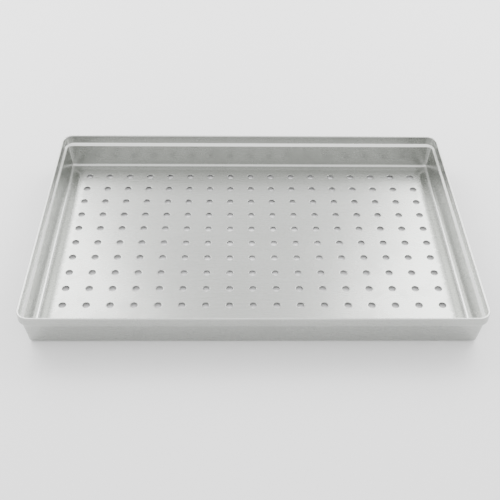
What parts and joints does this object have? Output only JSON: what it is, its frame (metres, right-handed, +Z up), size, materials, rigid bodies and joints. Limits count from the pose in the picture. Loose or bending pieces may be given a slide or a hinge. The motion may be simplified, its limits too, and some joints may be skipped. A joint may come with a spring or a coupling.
{
  "type": "baguette tray",
  "caption": "Shallow rectangular aluminium baking tray with a perforated flat floor, drafted walls, a stacking step and a folded rim around a stiffening wire.",
  "frame": {"origin": "centre of the tray's outline, on the surface that it stands on", "axes": "+X along the 600 mm side, +Y along the 400 mm side, +Z up out of the open top"},
  "size_m": [0.6, 0.4, 0.054],
  "materials": {
    "satin_aluminium": "satin rolled sheet, lightly pressed",
    "galvanised_wire": "dull zinc coating"
  },
  "bodies": {
    "root": {"pan": "satin_aluminium", "rim_wire": "galvanised_wire"}
  },
  "joints": []
}
